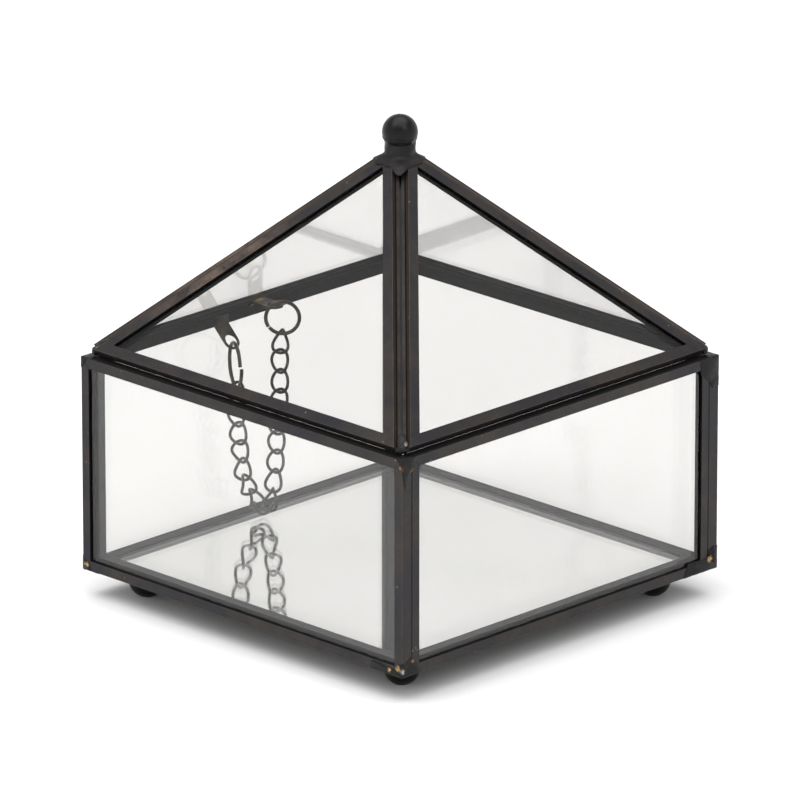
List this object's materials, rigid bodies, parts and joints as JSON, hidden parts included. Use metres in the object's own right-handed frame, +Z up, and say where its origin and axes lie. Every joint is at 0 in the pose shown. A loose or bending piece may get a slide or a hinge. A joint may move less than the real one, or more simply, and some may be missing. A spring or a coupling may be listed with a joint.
{
  "type": "glass keepsake box",
  "caption": "Square glass box in soldered metal channels, with ball feet, a mirror floor, and a hinged glass pyramid lid with a ball finial and a chain stay.",
  "frame": {"origin": "on the table under the middle of the box", "axes": "+Z up, -Y the front, +Y the hinge side, -X the side with the chain"},
  "size_m": [0.1002, 0.1, 0.1123],
  "materials": {
    "came": "dark brown-grey patina, satin",
    "clear_glass": "clear, polished",
    "mirror_glass": "back-silvered float glass",
    "base_sheet": "dark patina, satin",
    "ball_feet": "near-black patina, matte",
    "finial": "near-black patina, matte",
    "solder": "near-black patinated soft solder, lumpy",
    "hinge_brass": "worn dark patina",
    "tab_brass": "worn dark patina, brass showing through",
    "jump_ring": "dark patina, worn",
    "chain": "dark patina, satin"
  },
  "bodies": {
    "box": {"front_came": "came", "right_came": "came", "back_came": "came", "left_came": "came", "front_glass": "clear_glass", "right_glass": "clear_glass", "back_glass": "clear_glass", "left_glass": "clear_glass", "floor_came": "came", "floor_mirror": "mirror_glass", "base_sheet": "base_sheet", "foot_front_left": "ball_feet", "foot_front_right": "ball_feet", "foot_back_right": "ball_feet", "foot_back_left": "ball_feet", "corner_solder": "solder", "hinge_tube": "hinge_brass", "hinge_tube_solder": "solder", "tab_box": "tab_brass"},
    "lid": {"lid_front_came": "came", "lid_right_came": "came", "lid_back_came": "came", "lid_left_came": "came", "lid_front_glass": "clear_glass", "lid_right_glass": "clear_glass", "lid_back_glass": "clear_glass", "lid_left_glass": "clear_glass", "hip_solder": "solder", "apex_solder": "solder", "finial_ball": "finial", "hinge_wire": "hinge_brass", "tab_lid": "tab_brass"},
    "ring_box": {"ring_box": "jump_ring"},
    "ring_lid": {"ring_lid": "jump_ring"},
    "link_bottom": {"link_bottom": "chain"},
    "links_a_1_to_5": {"link_a_1": "chain", "link_a_2": "chain", "link_a_3": "chain", "link_a_4": "chain", "link_a_5": "chain"},
    "link_a_6": {"link_a_6": "chain"},
    "link_a_7": {"link_a_7": "chain"},
    "link_b_1": {"link_b_1": "chain"},
    "links_b_2_to_3": {"link_b_2": "chain", "link_b_3": "chain"},
    "links_b_4_to_7": {"link_b_4": "chain", "link_b_5": "chain", "link_b_6": "chain", "link_b_7": "chain"},
    "links_b_8_to_9": {"link_b_8": "chain", "link_b_9": "chain"}
  },
  "joints": [
    {"name": "lid_hinge", "type": "hinge", "parent": "box", "child": "lid", "pos_m": [0.003, 0.04922, 0.05702], "axis": [-1, 0, 0], "range_deg": [0, 95.58]},
    {"name": "ring_box_swing", "type": "hinge", "parent": "box", "child": "ring_box", "pos_m": [-0.04369, -0.00951, 0.04963], "axis": [1, 0, 0], "range_deg": [-0.02, 52.02]},
    {"name": "links_a_1_to_5_pivot", "type": "hinge", "parent": "ring_box", "child": "links_a_1_to_5", "pos_m": [-0.04238, -0.0089, 0.04048], "axis": [0.9995, -0.0223, -0.0237], "range_deg": [-0.02, 80.06]},
    {"name": "link_a_6_pivot", "type": "hinge", "parent": "links_a_1_to_5", "child": "link_a_6", "pos_m": [-0.04238, -0.00624, 0.01865], "axis": [-1, 0, 0], "range_deg": [-0.02, 23.22]},
    {"name": "link_a_7_pivot", "type": "hinge", "parent": "link_a_6", "child": "link_a_7", "pos_m": [-0.04238, -0.00399, 0.01475], "axis": [-0.4001, 0.8853, 0.2372], "range_deg": [-0.02, 4.9]},
    {"name": "link_bottom_pivot", "type": "hinge", "parent": "link_a_7", "child": "link_bottom", "pos_m": [-0.04229, -0.00155, 0.01091], "axis": [0.4582, 0.8494, 0.2618], "range_deg": [-0.02, 105.39]},
    {"name": "ring_lid_swing", "type": "hinge", "parent": "lid", "child": "ring_lid", "pos_m": [-0.03929, 0.00291, 0.05755], "axis": [1, 0, 0], "range_deg": [-0.02, 22.02]},
    {"name": "link_b_1_pivot", "type": "hinge", "parent": "ring_lid", "child": "link_b_1", "pos_m": [-0.03929, 0.00291, 0.05087], "axis": [0.979, 0.1979, 0.0491], "range_deg": [-0.02, 53.31]},
    {"name": "links_b_2_to_3_pivot", "type": "hinge", "parent": "link_b_1", "child": "links_b_2_to_3", "pos_m": [-0.03867, 0.00138, 0.04719], "axis": [-0.9908, -0.1261, -0.0493], "range_deg": [-0.02, 13.51]},
    {"name": "links_b_4_to_7_pivot", "type": "hinge", "parent": "links_b_2_to_3", "child": "links_b_4_to_7", "pos_m": [-0.03765, 0.00037, 0.03831], "axis": [-0.3236, -0.9455, 0.0351], "range_deg": [-0.02, 6.9]},
    {"name": "links_b_8_to_9_pivot", "type": "hinge", "parent": "links_b_4_to_7", "child": "links_b_8_to_9", "pos_m": [-0.03765, -0.00096, 0.02036], "axis": [0.9543, -0.2985, 0.0111], "range_deg": [-0.02, 7.09]}
  ],
  "couplings": [
    {"joint": "ring_box_swing", "follows": "lid_hinge", "ratio": 0.54405},
    {"joint": "links_a_1_to_5_pivot", "follows": "lid_hinge", "ratio": 0.83742},
    {"joint": "link_a_6_pivot", "follows": "lid_hinge", "ratio": 0.24273},
    {"joint": "link_a_7_pivot", "follows": "lid_hinge", "ratio": 0.051067},
    {"joint": "link_bottom_pivot", "follows": "lid_hinge", "ratio": 1.1025},
    {"joint": "ring_lid_swing", "follows": "lid_hinge", "ratio": 0.23017},
    {"joint": "link_b_1_pivot", "follows": "lid_hinge", "ratio": 0.55759},
    {"joint": "links_b_2_to_3_pivot", "follows": "lid_hinge", "ratio": 0.14115},
    {"joint": "links_b_4_to_7_pivot", "follows": "lid_hinge", "ratio": 0.071997},
    {"joint": "links_b_8_to_9_pivot", "follows": "lid_hinge", "ratio": 0.073937}
  ]
}
